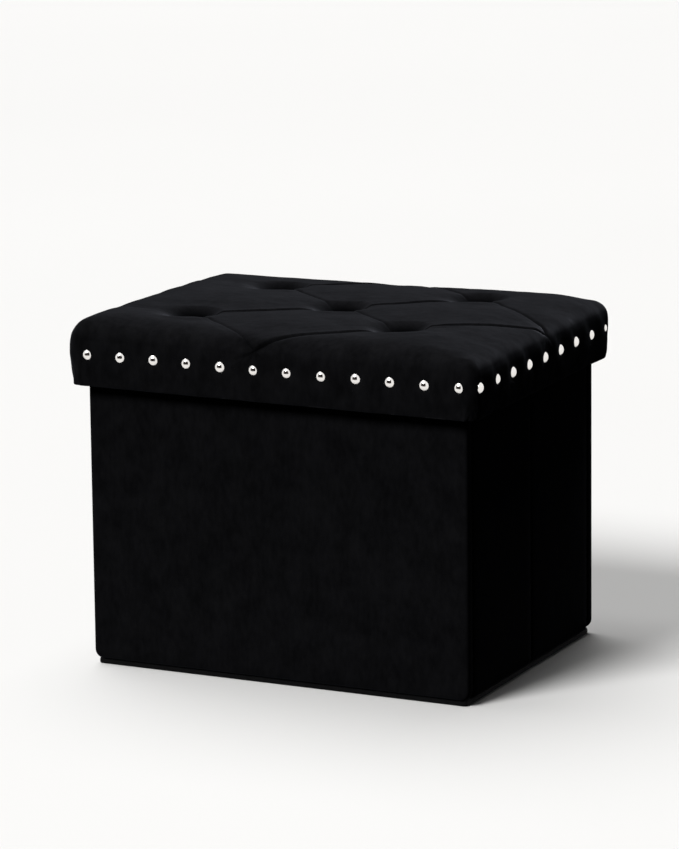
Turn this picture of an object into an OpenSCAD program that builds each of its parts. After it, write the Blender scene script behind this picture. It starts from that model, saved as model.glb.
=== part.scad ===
// Folding storage ottoman: a velvet box whose end walls fold in at the middle,
// under a lift-off lid with a diamond-tufted cushion and a row of domed nails.
// The front faces -Y, +X is to its right, and Z = 0 is the floor.

/* [Box] */
// Width of the box over the velvet of its end walls
body_w = 406.4; // [360:0.2:600]
// Depth of the box over the velvet of its front and back walls
body_d = 304.4; // [270:0.2:420]
// Height of the walls' top edges above the floor
wall_top = 316; // [200:1:450]

/* [Wall panels] */
// Thickness of the fibreboard in each wall
board_t = 9; // [6:0.5:12]
// Thickness of the velvet and wadding round each board
velvet_t = 2; // [1.5:0.25:3]
// Thickness of the lining inside the box and the lid
lining_t = 1; // [0.5:0.25:1.5]
// Radius of a panel's corners, seen square to the panel
panel_corner_r = 6; // [4:0.5:12]
// Radius of the velvet where it turns over a panel's outer edges
panel_edge_r = 3; // [1:0.25:4]
// Margin between the lining's edge and the panel's edge
lining_margin = 3; // [2:0.5:8]

/* [Base] */
// Thickness of the base board
base_board_t = 3.5; // [3:0.5:6]
// Thickness of the cloth round the base board
base_cloth_t = 1; // [0.5:0.25:1.5]
// Distance that the base is set in from the walls' outer faces
base_inset = 3; // [1:0.5:6]

/* [Folding joints] */
// Clearance on each side of a corner hinge line
hinge_gap = 0.5; // [0.3:0.1:1]
// Clearance on each side of the crease line in an end wall
crease_gap = 0.5; // [0.4:0.1:1]
// Distance of the crease line outside the end wall's face
crease_stand = 0.3; // [0.2:0.1:1]
// Thickness of the cloth web in each hinge
web_t = 0.3; // [0.2:0.05:0.35]
// Clearance between pieces that slide over or rest on each other
rest_gap = 0.3; // [0.2:0.05:0.5]

/* [Lid] */
// Thickness of the boards in the lid's rim
rim_t = 9; // [7:0.5:14]
// Play between the lid's rim and the walls
lid_play = 1.5; // [1.4:0.1:3]
// Thickness of the velvet on the lid
lid_velvet_t = 2; // [1.5:0.25:3]
// Depth of the lid's skirt below the walls' top edges
skirt_drop = 32; // [25:1:60]
// Thickness of the lid's top board
lid_board_t = 9; // [8:0.5:15]
// Thickness of the foam on the top board, before its crown
foam_t = 13; // [13:1:40]
// Radius of the lid's corners, seen from above
lid_corner_r = 14; // [12:1:30]
// Radius of the cushion's edge
shoulder_r = 11; // [6:1:14]
// Height that the cushion's middle stands above its edges
crown = 8; // [0:0.5:9]

/* [Tufting] */
// Distance between the outer tufts from left to right
tuft_span_x = 216; // [150:1:260]
// Distance between the outer tufts from front to back
tuft_span_y = 162; // [120:1:200]
// Distance that the middle tuft stands to the right of the lid's middle
tuft_shift_x = -5; // [-20:1:20]
// Distance that the middle tuft stands behind the lid's middle
tuft_shift_y = 3; // [-12:1:12]
// Depth of a tuft below the cushion's top
tuft_depth = 12; // [6:0.5:12]
// Radius of the hollow round each tuft
tuft_hollow_r = 26; // [18:1:30]
// Depth of the pleats between the tufts
pleat_depth = 3.5; // [1:0.5:5]
// Half of a pleat's width
pleat_w = 10; // [8:1:14]
// Radius of the covered buttons
button_r = 6; // [5:0.5:8]
// Height of the covered buttons
button_h = 3.5; // [2.5:0.5:5]
// Radius of the twine that holds a button down
twine_r = 1; // [0.5:0.1:1.5]
// Radius of the hole for the twine in the top board
twine_hole_r = 2.5; // [2:0.25:3]
// Radius of the washer under the top board
washer_r = 9; // [7:0.5:12]
// Thickness of the washer
washer_t = 1; // [0.8:0.1:1.5]
// Radius of the knot under the washer
knot_r = 1.8; // [1.6:0.1:2]

/* [Nails] */
// Radius of a nail's domed head
nail_r = 5.5; // [4:0.25:7]
// Height of a nail's dome
nail_dome = 2.8; // [2:0.1:4]
// Radius of a nail's shank
nail_shank_r = 0.8; // [0.6:0.1:1.2]
// Length of a nail's shank
nail_shank = 8.5; // [6:0.5:10]
// Number of nails along the front, and along the back
front_nail_count = 12; // [8:1:14]
// Distance between nails along the front and back
front_nail_pitch = 36.2; // [20:0.2:36.6]
// Distance that the front row starts nearer to the right-hand corner
front_row_shift = 2; // [-2:0.5:2]
// Number of nails along each end
end_nail_count = 9; // [6:1:10]
// Distance between nails along each end
end_nail_pitch = 38; // [20:0.5:38]
// Height of the nails above the lid's lower edge
nail_rise = 31; // [10:0.5:31]
// Radius of the brads that hold the rim to the top board
brad_r = 0.8; // [0.6:0.1:1.2]
// Length of those brads
brad_length = 26; // [20:1:30]
// Number of brads along each rim board
brad_count = 4; // [2:1:6]

/* [Hidden] */
$fn = 48;

velvet = [0.045, 0.045, 0.05];
cloth = [0.10, 0.10, 0.11];
fibreboard = [0.66, 0.52, 0.37];
plywood = [0.80, 0.66, 0.46];
foam = [0.93, 0.90, 0.78];
twine = [0.85, 0.82, 0.74];
nickel = [0.78, 0.77, 0.76];
steel = [0.55, 0.56, 0.58];

// Walls
wall_t = velvet_t + board_t + lining_t;
base_h = base_board_t + 2 * base_cloth_t;
wall_bottom = base_h + rest_gap;
wall_h = wall_top - wall_bottom;
inner_x = body_w / 2 - wall_t;
inner_y = body_d / 2 - wall_t;
corner_line_y = inner_y - hinge_gap;
half_w = corner_line_y - hinge_gap - crease_gap;
half_mid_y = crease_gap + half_w / 2;

// Lid, from the outside in and from the bottom up
lid_overhang = lid_play + rim_t + rest_gap + lid_velvet_t;
lid_x = body_w / 2 + lid_overhang;
lid_y = body_d / 2 + lid_overhang;
skirt_bottom = wall_top - skirt_drop;
rim_bottom = skirt_bottom + lid_velvet_t;
rim_inset = lid_velvet_t + rest_gap;
rim_in_x = body_w / 2 + lid_play;
rim_in_y = body_d / 2 + lid_play;
lid_board_z = wall_top + rest_gap + lining_t;
foam_z = lid_board_z + lid_board_t;
cushion_edge = foam_z + foam_t + lid_velvet_t;
nail_z = skirt_bottom + nail_rise;

// Tufts: four outer ones and one in the middle, and the pleats between them
tuft_x = tuft_span_x / 2;
tuft_y = tuft_span_y / 2;
tuft_middle = [tuft_shift_x, tuft_shift_y];
tufts = [
    tuft_middle + [-tuft_x, -tuft_y],
    tuft_middle + [tuft_x, -tuft_y],
    tuft_middle + [tuft_x, tuft_y],
    tuft_middle + [-tuft_x, tuft_y],
    tuft_middle
];
edge_middles = [[tuft_shift_x, -lid_y], [lid_x, tuft_shift_y], [tuft_shift_x, lid_y], [-lid_x, tuft_shift_y]];
pleats = concat(
    [for (k = [0:3]) [tufts[k], tufts[4]]],
    [for (k = [0:3]) [tufts[k], edge_middles[k]]],
    [for (k = [0:3]) [tufts[(k + 1) % 4], edge_middles[k]]]
);
function button_seat(t) = cushion_edge + crown_rise(t[0], t[1]) - tuft_depth + rest_gap;
washer_z = lid_board_z + 2 * knot_r;
middle_steps = [7, 6];
edge_steps = [6, 4];
corner_steps = 4;

// ---- Shapes shared by the pieces ----

// Rectangle with round corners, centred
module round_rect(w, d, r) {
    square([w - 2 * r, d], center = true);
    square([w, d - 2 * r], center = true);
    for (x = [-1, 1], y = [-1, 1])
        translate([x * (w / 2 - r), y * (d / 2 - r)])
            circle(r);
}

// Section with its two corners at y = 0 rounded, centred on x
module round_front(w, t, r) {
    translate([-w / 2, r])
        square([w, t - r]);
    translate([r - w / 2, 0])
        square([w - 2 * r, t]);
    for (x = [-1, 1])
        translate([x * (w / 2 - r), r])
            circle(r);
}

// Upright plate whose outer face is y = 0, with round corners
module plate(w, h, t, r) {
    translate([0, t, h / 2])
        rotate([90, 0, 0])
            linear_extrude(t)
                round_rect(w, h, r);
}

// Wall panels stand on z = 0 with their outer face at y = 0
module panel_board(w) {
    translate([0, velvet_t, velvet_t])
        plate(w - 2 * velvet_t, wall_h - 2 * velvet_t, board_t, panel_corner_r - velvet_t);
}

module panel_cover(w) {
    depth = velvet_t + board_t;
    difference() {
        intersection() {
            plate(w, wall_h, depth, panel_corner_r);
            linear_extrude(wall_h)
                round_front(w, depth, panel_edge_r);
            translate([w / 2, 0, wall_h / 2])
                rotate([0, -90, 0])
                    linear_extrude(w)
                        round_front(wall_h, depth, panel_edge_r);
        }
        panel_board(w);
    }
}

module panel_lining(w) {
    translate([0, velvet_t + board_t, lining_margin])
        plate(w - 2 * lining_margin, wall_h - 2 * lining_margin, lining_t, panel_corner_r / 2);
}

// Places of the walls
module at_front() {
    translate([0, -body_d / 2, wall_bottom])
        children();
}

module at_back() {
    rotate([0, 0, 180])
        at_front()
            children();
}

// side is 1 on the right and -1 on the left, end is 1 at the rear and -1 at the front
module at_half(side, end) {
    translate([side * body_w / 2, end * half_mid_y, wall_bottom])
        rotate([0, 0, side * 90])
            children();
}

// Cloth web of a corner hinge, sewn to the front or back wall's inner face
module corner_web(side, end) {
    web_h = wall_h - 2 * panel_corner_r;
    translate([side * (inner_x + wall_t / 2), end * (inner_y - web_t / 2), wall_bottom + wall_h / 2])
        cube([wall_t - 2 * panel_edge_r, web_t, web_h], center = true);
}

// Cloth web of the crease, sewn to the end wall's rear half
module crease_web(side) {
    web_h = wall_h - 2 * panel_corner_r;
    translate([side * (inner_x + wall_t / 2), crease_gap - web_t / 2, wall_bottom + wall_h / 2])
        cube([wall_t - 2 * panel_edge_r, web_t, web_h], center = true);
}

// Lid outlines, set in from the velvet's outer face
module lid_outline(inset) {
    round_rect(2 * (lid_x - inset), 2 * (lid_y - inset), lid_corner_r - inset);
}

// Ring of the lid's rim boards, before it is cut at the corners
module rim_ring() {
    translate([0, 0, rim_bottom])
        linear_extrude(lid_board_z - rim_bottom)
            difference() {
                lid_outline(rim_inset);
                square([2 * rim_in_x, 2 * rim_in_y], center = true);
            }
}

// Long rim boards run from corner to corner, and the short ones fit between them
module long_rim(end) {
    intersection() {
        rim_ring();
        translate([0, end * (rim_in_y + lid_x), wall_top])
            cube(2 * lid_x, center = true);
    }
}

module short_rim(side) {
    intersection() {
        rim_ring();
        translate([side * lid_x, 0, wall_top])
            cube([lid_x, 2 * rim_in_y, 2 * lid_x], center = true);
    }
}

// ---- Tufted cushion surface ----

// Distance of a point from the lid's outline, set in by inset
function depth_in(x, y, inset) =
    let (r = lid_corner_r - inset)
    let (qx = abs(x) - (lid_x - inset - r), qy = abs(y) - (lid_y - inset - r))
    r - norm([max(qx, 0), max(qy, 0)]) - min(max(qx, qy), 0);

// Drop of a quarter-round edge at a distance from it
function shoulder(d, r) = d >= r ? 0 : r - sqrt(max(0, r * r - (r - d) * (r - d)));

// Distance from a point to the line between two others
function off_line(p, a, b) =
    let (along = max(0, min(1, ((p - a) * (b - a)) / ((b - a) * (b - a)))))
    norm(p - a - along * (b - a));

// Rise of the cushion towards its middle, 0 at its edges
function crown_rise(x, y) = crown * (1 - pow(x / lid_x, 2)) * (1 - pow(y / lid_y, 2));

function hollow(d) = exp(-2.2 * pow(max(0, d - button_r) / tuft_hollow_r, 2));
function tuft_drop(p) = tuft_depth * max([for (t = tufts) hollow(norm(p - t))]);
function pleat_drop(p) = pleat_depth * max([for (s = pleats) exp(-pow(off_line(p, s[0], s[1]) / pleat_w, 2))]);

// Height of the cushion, or of a surface set in under it
function cushion_z(x, y, inset) =
    cushion_edge - inset - shoulder(depth_in(x, y, inset), shoulder_r - inset)
    + crown_rise(x, y) - max(tuft_drop([x, y]), pleat_drop([x, y]));

// Places from the middle to the edge, with a row through the tufts and close rows round the corner
function half_steps(edge, tuft, inset, k) =
    let (r = lid_corner_r - inset)
    let (bend = edge - r)
    concat(
        [for (i = [1:middle_steps[k]]) tuft * i / middle_steps[k]],
        [for (i = [1:edge_steps[k]]) tuft + (bend - tuft) * i / edge_steps[k]],
        [for (i = [1:corner_steps]) bend + r * sin(90 * i / corner_steps)]
    );
function full_steps(half) = concat([for (i = [len(half) - 1:-1:0]) -half[i]], [0], half);

// The rows moved so that they run through the tufts, less and less towards the lid's edge
function moved_steps(steps, edge, tuft, inset, by) =
    let (bend = edge - (lid_corner_r - inset))
    [for (s = steps) s + by * max(0, min(1, (bend - abs(s)) / (bend - tuft)))];
function rows_through(edge, tuft, inset, k, by) =
    moved_steps(full_steps(half_steps(edge, tuft, inset, k)), edge, tuft, inset, by);

// Half of the outline's width at a depth y
function row_half(y, inset) =
    let (r = lid_corner_r - inset)
    let (over = max(0, abs(y) - (lid_y - inset - r)))
    lid_x - inset - r + sqrt(max(0, r * r - over * over));

function cushion_points(inset) = [
    for (y = rows_through(lid_y - inset, tuft_y, inset, 1, tuft_shift_y))
        for (x0 = rows_through(lid_x - inset, tuft_x, inset, 0, tuft_shift_x))
            let (x = x0 * row_half(y, inset) / (lid_x - inset))
            [x, y, cushion_z(x, y, inset)]
];

columns = 2 * (middle_steps[0] + edge_steps[0] + corner_steps) + 1;
rows = 2 * (middle_steps[1] + edge_steps[1] + corner_steps) + 1;
grid_count = columns * rows;

// Triangles over the grid, seen from above, and the loop of points round it
function grid_faces(first) = [
    for (j = [0:rows - 2], i = [0:columns - 2], half = [0, 1])
        let (a = first + j * columns + i)
        half == 0 ? [a, a + columns, a + columns + 1] : [a, a + columns + 1, a + 1]
];
rim_loop = concat(
    [for (i = [0:columns - 2]) i],
    [for (j = [0:rows - 2]) j * columns + columns - 1],
    [for (i = [columns - 1:-1:1]) (rows - 1) * columns + i],
    [for (j = [rows - 1:-1:1]) j * columns]
);
loop_count = len(rim_loop);

// Wall of triangles from an upper loop down to a lower one
function wall_faces(upper, lower) = [
    for (k = [0:loop_count - 1], half = [0, 1])
        let (n = (k + 1) % loop_count)
        half == 0 ? [upper[k], upper[n], lower[n]] : [upper[k], lower[n], lower[k]]
];
function flipped(faces) = [for (f = faces) [f[2], f[1], f[0]]];
function shifted(loop, by) = [for (k = loop) k + by];
function loop_at(points, z) = [for (k = rim_loop) [points[k][0], points[k][1], z]];
function counting(first) = [for (k = [0:loop_count - 1]) first + k];

// Closed solid under the tufted surface, down to a flat bottom
module cushion_solid(inset, bottom) {
    top = cushion_points(inset);
    lower = counting(grid_count);
    middle = grid_count + loop_count;
    polyhedron(
        points = concat(top, loop_at(top, bottom), [[0, 0, bottom]]),
        faces = concat(
            grid_faces(0),
            wall_faces(rim_loop, lower),
            [for (k = [0:loop_count - 1]) [lower[k], lower[(k + 1) % loop_count], middle]]
        )
    );
}

// Skin over the cushion and down its sides, open underneath
module cushion_skin(t, bottom) {
    outer = cushion_points(0);
    inner = cushion_points(t);
    outer_loop = counting(2 * grid_count);
    inner_loop = counting(2 * grid_count + loop_count);
    inner_rim = shifted(rim_loop, grid_count);
    polyhedron(
        points = concat(outer, inner, loop_at(outer, bottom), loop_at(inner, bottom)),
        faces = concat(
            grid_faces(0),
            flipped(grid_faces(grid_count)),
            wall_faces(rim_loop, outer_loop),
            wall_faces(outer_loop, inner_loop),
            wall_faces(inner_loop, inner_rim)
        )
    );
}

// ---- Nails ----

// Domed nail driven along +Y, with the rim of its head on the velvet at y = 0
module nail() {
    sphere_r = (nail_r * nail_r + nail_dome * nail_dome) / (2 * nail_dome);
    spread = asin(nail_r / sphere_r);
    dome = [for (k = [0:5]) sphere_r * [sin(spread * k / 5), cos(spread * k / 5)]];
    rotate([90, 0, 0])
        rotate_extrude($fn = 24)
            polygon(concat(
                [for (p = dome) [p[0], p[1] - sphere_r + nail_dome]],
                [[nail_shank_r, 0], [nail_shank_r, 1 - nail_shank], [0, -nail_shank]]
            ));
}

module nail_row(count, pitch, face, shift) {
    for (k = [0:count - 1])
        translate([(k - (count - 1) / 2) * pitch + shift, -face, nail_z])
            nail();
}

// ---- Base ----

module base_outline(inset) {
    round_rect(
        body_w - 2 * base_inset - 2 * inset,
        body_d - 2 * base_inset - 2 * inset,
        panel_edge_r + base_cloth_t - inset
    );
}

module base_board() {
    color(fibreboard)
        translate([0, 0, base_cloth_t])
            linear_extrude(base_board_t)
                base_outline(base_cloth_t);
}

module base_cover() {
    color(cloth)
        difference() {
            linear_extrude(base_cloth_t + base_board_t)
                base_outline(0);
            base_board();
        }
}

module base_lining() {
    color(cloth)
        translate([0, 0, base_cloth_t + base_board_t])
            linear_extrude(base_cloth_t)
                base_outline(base_cloth_t / 2);
}

// ---- Walls ----

module back_board() {
    color(fibreboard)
        at_back()
            panel_board(body_w);
}

module back_cover() {
    color(velvet)
        at_back()
            panel_cover(body_w);
}

module back_lining() {
    color(cloth)
        at_back()
            panel_lining(2 * inner_x);
}

module front_board() {
    color(fibreboard)
        at_front()
            panel_board(body_w);
}

module front_cover() {
    color(velvet)
        at_front()
            panel_cover(body_w);
}

module front_lining() {
    color(cloth)
        at_front()
            panel_lining(2 * inner_x);
}

module half_board(side, end) {
    color(fibreboard)
        at_half(side, end)
            panel_board(half_w);
}

module half_cover(side, end) {
    color(velvet)
        at_half(side, end)
            panel_cover(half_w);
}

module half_lining(side, end) {
    color(cloth)
        at_half(side, end)
            panel_lining(half_w);
}

module corner_hinge(side, end) {
    color(velvet)
        corner_web(side, end);
}

module crease_hinge(side) {
    color(velvet)
        crease_web(side);
}

// ---- Lid ----

module lid_board() {
    color(plywood)
        difference() {
            translate([0, 0, lid_board_z])
                linear_extrude(lid_board_t)
                    lid_outline(rim_inset);
            for (t = tufts)
                translate([t[0], t[1], lid_board_z]) {
                    translate([0, 0, -1])
                        cylinder(h = lid_board_t + 2, r = twine_hole_r);
                    translate([0, 0, -1])
                        cylinder(h = 1 + 2 * knot_r + washer_t, r = washer_r + rest_gap);
                }
        }
}

module front_rim() {
    color(fibreboard)
        long_rim(-1);
}

module back_rim() {
    color(fibreboard)
        long_rim(1);
}

module left_rim() {
    color(fibreboard)
        short_rim(-1);
}

module right_rim() {
    color(fibreboard)
        short_rim(1);
}

// Nearest place to x that lies halfway between two nails of a row
function between_nails(x, count, pitch) =
    count % 2 == 0
        ? pitch * round(x / pitch)
        : pitch * sign(x) * (floor(abs(x) / pitch) + 0.5);

module rim_brads() {
    color(steel)
        for (k = [0:brad_count - 1], s = [-1, 1]) {
            along = (k + 0.5) / brad_count - 0.5;
            x = between_nails(along * body_w, front_nail_count, front_nail_pitch) - s * front_row_shift;
            y = between_nails(along * body_d, end_nail_count, end_nail_pitch);
            for (p = [[x, s * (rim_in_y + rim_t / 2)], [s * (rim_in_x + rim_t / 2), y]])
                translate([p[0], p[1], foam_z - brad_length])
                    cylinder(h = brad_length, r = brad_r);
        }
}

module foam_pad() {
    color(foam)
        cushion_solid(lid_velvet_t + rest_gap, foam_z);
}

module lid_cover() {
    color(velvet)
        cushion_skin(lid_velvet_t, skirt_bottom);
}

module lid_lining() {
    color(cloth)
        translate([0, 0, lid_board_z - lining_t])
            linear_extrude(lining_t)
                square([2 * (rim_in_x - rest_gap), 2 * (rim_in_y - rest_gap)], center = true);
}

module tuft_buttons() {
    sphere_r = (button_r * button_r + button_h * button_h) / (2 * button_h);
    spread = asin(button_r / sphere_r);
    color(velvet)
        for (t = tufts)
            translate([t[0], t[1], button_seat(t)])
                rotate_extrude($fn = 32)
                    polygon(concat(
                        [[0, 0]],
                        [for (k = [5:-1:0])
                            [sphere_r * sin(spread * k / 5), sphere_r * cos(spread * k / 5) - sphere_r + button_h]]
                    ));
}

module tuft_twine() {
    color(twine)
        for (t = tufts)
            translate([t[0], t[1], 0]) {
                translate([0, 0, washer_z - knot_r])
                    cylinder(h = button_seat(t) - washer_z + knot_r, r = twine_r);
                translate([0, 0, washer_z - knot_r])
                    sphere(knot_r);
            }
}

module tuft_washers() {
    color(steel)
        for (t = tufts)
            translate([t[0], t[1], washer_z])
                difference() {
                    cylinder(h = washer_t, r = washer_r);
                    translate([0, 0, -1])
                        cylinder(h = washer_t + 2, r = twine_r + 0.1);
                }
}

module front_nails() {
    color(nickel)
        nail_row(front_nail_count, front_nail_pitch, lid_y, front_row_shift);
}

module back_nails() {
    color(nickel)
        rotate([0, 0, 180])
            nail_row(front_nail_count, front_nail_pitch, lid_y, front_row_shift);
}

module left_nails() {
    color(nickel)
        rotate([0, 0, -90])
            nail_row(end_nail_count, end_nail_pitch, lid_x, 0);
}

module right_nails() {
    color(nickel)
        rotate([0, 0, 90])
            nail_row(end_nail_count, end_nail_pitch, lid_x, 0);
}

base_board();
base_cover();
base_lining();
back_board();
back_cover();
back_lining();
front_board();
front_cover();
front_lining();
half_board(-1, 1);  // left_rear_board
half_cover(-1, 1);  // left_rear_cover
half_lining(-1, 1);  // left_rear_lining
half_board(-1, -1);  // left_front_board
half_cover(-1, -1);  // left_front_cover
half_lining(-1, -1);  // left_front_lining
half_board(1, 1);  // right_rear_board
half_cover(1, 1);  // right_rear_cover
half_lining(1, 1);  // right_rear_lining
half_board(1, -1);  // right_front_board
half_cover(1, -1);  // right_front_cover
half_lining(1, -1);  // right_front_lining
corner_hinge(-1, 1);  // back_left_hinge
corner_hinge(1, 1);  // back_right_hinge
corner_hinge(-1, -1);  // front_left_hinge
corner_hinge(1, -1);  // front_right_hinge
crease_hinge(-1);  // left_crease_hinge
crease_hinge(1);  // right_crease_hinge
lid_board();
front_rim();
back_rim();
left_rim();
right_rim();
rim_brads();
foam_pad();
lid_cover();
lid_lining();
tuft_buttons();
tuft_twine();
tuft_washers();
front_nails();
back_nails();
left_nails();
right_nails();
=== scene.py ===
from math import cos, pi, radians, sin

import bmesh
import bpy
import numpy as np
from mathutils import Euler, Matrix, Vector
from mathutils import noise as relief


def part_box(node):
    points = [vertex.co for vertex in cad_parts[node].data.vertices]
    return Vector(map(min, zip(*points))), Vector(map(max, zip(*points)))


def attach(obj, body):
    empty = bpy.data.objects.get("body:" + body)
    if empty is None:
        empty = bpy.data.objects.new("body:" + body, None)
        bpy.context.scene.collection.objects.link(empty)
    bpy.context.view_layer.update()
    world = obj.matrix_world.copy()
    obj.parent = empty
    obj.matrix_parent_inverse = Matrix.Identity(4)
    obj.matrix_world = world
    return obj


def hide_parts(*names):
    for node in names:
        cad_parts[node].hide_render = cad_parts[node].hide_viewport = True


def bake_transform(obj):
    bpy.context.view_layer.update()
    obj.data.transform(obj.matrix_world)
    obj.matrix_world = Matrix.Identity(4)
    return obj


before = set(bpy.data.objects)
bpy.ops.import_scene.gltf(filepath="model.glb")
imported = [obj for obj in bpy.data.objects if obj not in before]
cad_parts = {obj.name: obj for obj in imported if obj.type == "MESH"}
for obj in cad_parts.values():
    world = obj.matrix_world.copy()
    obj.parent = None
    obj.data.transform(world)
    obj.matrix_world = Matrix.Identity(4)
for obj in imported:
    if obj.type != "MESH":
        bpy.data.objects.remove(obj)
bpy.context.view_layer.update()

bpy.ops.object.select_all(action="DESELECT")


# ---------------------------------------------------------------------------
# Base: a thin fibreboard slid into a black felt sleeve, closed from above by
# a lining cloth. It carries the back wall and lies on the floor when in use.
# The board keeps its own solid; the sleeve and the lining are made here.
# ---------------------------------------------------------------------------
def block(name, low, high):
    """Square block between two corners, with its place in its mesh."""
    low, high = Vector(low), Vector(high)
    bpy.ops.mesh.primitive_cube_add(size=1, location=(low + high) / 2)
    piece = bpy.context.object
    piece.name = name
    piece.data.name = name
    piece.scale = high - low
    bpy.ops.object.transform_apply(location=True, rotation=True, scale=True)
    return piece


def pick_edges(piece, wanted):
    """Goes into edit mode with just those edges selected."""
    bpy.ops.object.mode_set(mode="EDIT")
    bpy.ops.mesh.select_mode(type="EDGE")
    bpy.ops.mesh.select_all(action="DESELECT")
    sheet = bmesh.from_edit_mesh(piece.data)
    for edge in sheet.edges:
        edge.select = wanted(edge)
    sheet.select_flush_mode()
    bmesh.update_edit_mesh(piece.data)


def runs_along(edge, axis):
    """True for an edge that is parallel to an axis."""
    span = edge.verts[1].co - edge.verts[0].co
    return abs(span[axis]) > 0.999 * span.length


def cut_into_rows(piece, axis, cell):
    """Cuts a block across an axis into rows about one cell wide."""
    sizes = [corner[axis] for corner in piece.bound_box]
    cuts = max(1, round((max(sizes) - min(sizes)) / cell) - 1)
    pick_edges(piece, lambda edge: runs_along(edge, axis))
    bpy.ops.mesh.subdivide(number_cuts=cuts)
    bpy.ops.object.mode_set(mode="OBJECT")


def face_rim(edge, outward):
    """True for an edge round the face that looks outward."""
    facing = [face.normal.dot(outward) > 0.9 for face in edge.link_faces]
    return len(facing) == 2 and facing[0] != facing[1]


def round_panel(piece, outward, corner_r, edge_r, back_r):
    """Rounds a block's four corners, then the rim of its face and of its back."""
    thin = max(range(3), key=lambda axis: abs(outward[axis]))
    flat = [axis for axis in range(3) if axis != thin]
    box = [[f(corner[axis] for corner in piece.bound_box) for axis in range(3)] for f in (min, max)]

    def at_corner(edge):
        middle = (edge.verts[0].co + edge.verts[1].co) / 2
        ends = [min(middle[a] - box[0][a], box[1][a] - middle[a]) < 1e-5 for a in flat]
        return runs_along(edge, thin) and all(ends)

    if corner_r:
        pick_edges(piece, at_corner)
        bpy.ops.mesh.bevel(offset=corner_r, segments=5, affect="EDGES")
        bpy.ops.object.mode_set(mode="OBJECT")
    for direction, radius in ((outward, edge_r), (-outward, back_r)):
        pick_edges(piece, lambda edge: face_rim(edge, direction))
        bpy.ops.mesh.bevel(offset=radius, segments=4, affect="EDGES")
        bpy.ops.object.mode_set(mode="OBJECT")


def finish_piece(piece, material, slot, body, *nodes):
    """Gives a piece its finish, its body and the solids that it stands for."""
    piece.data.materials.clear()
    piece.data.materials.append(material)
    bpy.ops.object.select_all(action="DESELECT")
    if body:
        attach(piece, body)
    if nodes:
        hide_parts(*nodes)
    return piece


def new_material(name):
    """Material with a Principled surface, and the nodes that its pattern starts from."""
    material = bpy.data.materials.new(name)
    material.use_nodes = True
    nodes, links = material.node_tree.nodes, material.node_tree.links
    surface = nodes["Principled BSDF"]
    place = nodes.new("ShaderNodeTexCoord")
    return material, nodes, links, surface, place.outputs["Object"]


def noise_field(nodes, links, place, scale, detail=3.0, stretch=(1, 1, 1)):
    """Noise on the piece itself, stretched along an axis where the cloth has a run."""
    mapping = nodes.new("ShaderNodeMapping")
    mapping.inputs["Scale"].default_value = stretch
    field = nodes.new("ShaderNodeTexNoise")
    field.inputs["Scale"].default_value = scale
    field.inputs["Detail"].default_value = detail
    links.new(place, mapping.inputs["Vector"])
    links.new(mapping.outputs["Vector"], field.inputs["Vector"])
    return field.outputs["Fac"]


def shade_between(nodes, links, factor, dark, light, low=0.3, high=0.7):
    """Colour that runs from dark to light as a field goes from low to high."""
    ramp = nodes.new("ShaderNodeValToRGB")
    ramp.color_ramp.elements[0].position = low
    ramp.color_ramp.elements[0].color = (*dark, 1)
    ramp.color_ramp.elements[1].position = high
    ramp.color_ramp.elements[1].color = (*light, 1)
    links.new(factor, ramp.inputs["Fac"])
    return ramp.outputs["Color"]


def spread(nodes, links, factor, low, high):
    """Number that runs from low to high over a field."""
    scaled = nodes.new("ShaderNodeMapRange")
    scaled.inputs["From Min"].default_value = 0.3
    scaled.inputs["From Max"].default_value = 0.7
    scaled.inputs["To Min"].default_value = low
    scaled.inputs["To Max"].default_value = high
    links.new(factor, scaled.inputs["Value"])
    return scaled.outputs["Result"]


def bumped(nodes, links, surface, fields):
    """Raises the surface by a chain of fields, each with its strength and height."""
    below = None
    for field, strength, height in fields:
        bump = nodes.new("ShaderNodeBump")
        bump.inputs["Strength"].default_value = strength
        bump.inputs["Distance"].default_value = height
        links.new(field, bump.inputs["Height"])
        if below:
            links.new(below, bump.inputs["Normal"])
        below = bump.outputs["Normal"]
    links.new(below, surface.inputs["Normal"])


def make_felt(name, dark, light):
    """Black bonded cloth, pressed with a fine grid of dots."""
    material, nodes, links, surface, place = new_material(name)
    fibres = noise_field(nodes, links, place, 900, 5)
    clouds = noise_field(nodes, links, place, 40, 2)
    dots = nodes.new("ShaderNodeTexVoronoi")
    dots.inputs["Scale"].default_value = 450
    dots.inputs["Randomness"].default_value = 0.12
    links.new(place, dots.inputs["Vector"])
    links.new(shade_between(nodes, links, clouds, dark, light), surface.inputs["Base Color"])
    links.new(spread(nodes, links, fibres, 0.82, 0.98), surface.inputs["Roughness"])
    surface.inputs["Specular IOR Level"].default_value = 0.10
    bumped(nodes, links, surface, [(dots.outputs["Distance"], 0.5, 0.0004), (fibres, 0.4, 0.0002)])
    return material


def make_fibreboard():
    """Grey-brown pressed board with short fibres."""
    material, nodes, links, surface, place = new_material("fibreboard")
    fibres = noise_field(nodes, links, place, 600, 4, (1, 1, 0.35))
    clouds = noise_field(nodes, links, place, 30, 3)
    links.new(
        shade_between(nodes, links, fibres, (0.17, 0.11, 0.065), (0.30, 0.21, 0.13)),
        surface.inputs["Base Color"],
    )
    links.new(spread(nodes, links, clouds, 0.7, 0.9), surface.inputs["Roughness"])
    bumped(nodes, links, surface, [(fibres, 0.3, 0.0002)])
    return material


felt = make_felt("lining_felt", (0.010, 0.010, 0.011), (0.020, 0.020, 0.022))
base_felt = make_felt("base_felt", (0.0012, 0.0012, 0.0014), (0.0024, 0.0024, 0.0027))
fibreboard = make_fibreboard()
for board in [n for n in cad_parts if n.endswith("_board") and n != "lid_board"]:
    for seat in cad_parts[board].material_slots:
        seat.material = fibreboard

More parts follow.
